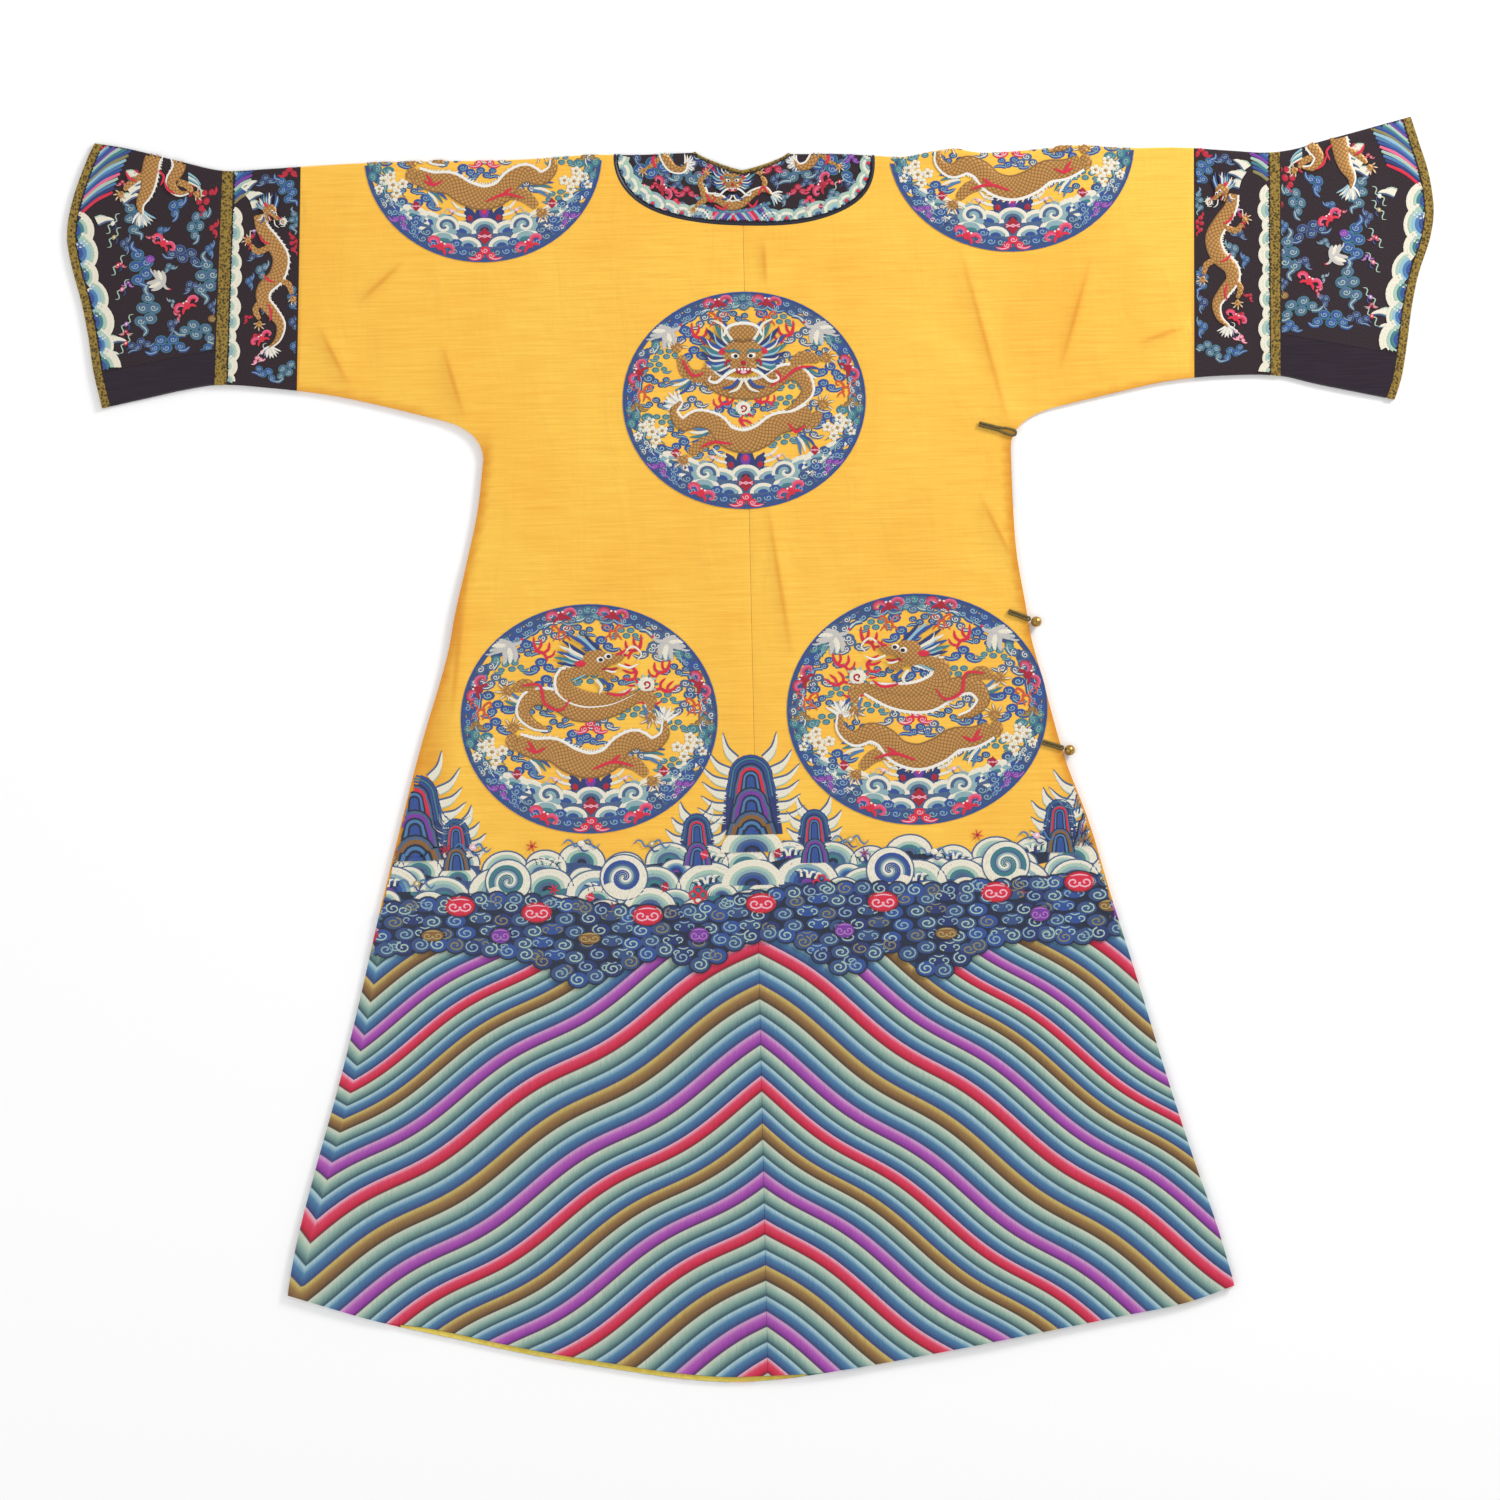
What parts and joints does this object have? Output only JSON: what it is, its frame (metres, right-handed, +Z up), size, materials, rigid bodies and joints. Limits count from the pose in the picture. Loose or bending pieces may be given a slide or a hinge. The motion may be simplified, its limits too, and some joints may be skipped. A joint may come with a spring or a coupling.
{
  "type": "chinese dragon robe",
  "caption": "Flat-laid full-length silk dragon robe, back up, with horseshoe cuffs, shaped collar border, embroidered roundels and a wave-striped hem.",
  "frame": {"origin": "centre of the laid robe's bounding box, on the surface it lies on", "axes": "+X across the sleeves towards the wearer's right, +Y up the back towards the shoulders, +Z up off the surface, out of the robe's back"},
  "size_m": [1.571, 1.4396, 0.0127],
  "materials": {
    "yellow_silk": "soft satin sheen of plain-woven silk",
    "lining": "plain silk lining",
    "dark_embroidered_silk": "dark silk under coloured satin stitch",
    "plum_satin": "plain dark satin",
    "gold_brocade": "woven gold and black ribbon",
    "navy_piping": "dark satin piping",
    "silk_cord": "olive silk cord",
    "brass": "dull cast brass"
  },
  "bodies": {
    "root": {"band_trim_left": "gold_brocade", "band_trim_right": "gold_brocade", "body_left": "yellow_silk", "body_right": "yellow_silk", "closure_ball_hip": "brass", "closure_ball_waist": "brass", "closure_cord_hip": "silk_cord", "closure_cord_waist": "silk_cord", "closure_loop_armpit": "silk_cord", "collar": "dark_embroidered_silk", "collar_neck_piping": "gold_brocade", "collar_outer_piping": "navy_piping", "cuff_edging_left": "gold_brocade", "cuff_edging_right": "gold_brocade", "cuff_left": "dark_embroidered_silk", "cuff_right": "dark_embroidered_silk", "cuff_underarm_left": "plum_satin", "cuff_underarm_right": "plum_satin", "front_overlap": "yellow_silk", "hem_lining": "lining", "overlap_border": "dark_embroidered_silk", "sleeve_band_left": "dark_embroidered_silk", "sleeve_band_right": "dark_embroidered_silk"}
  },
  "joints": []
}
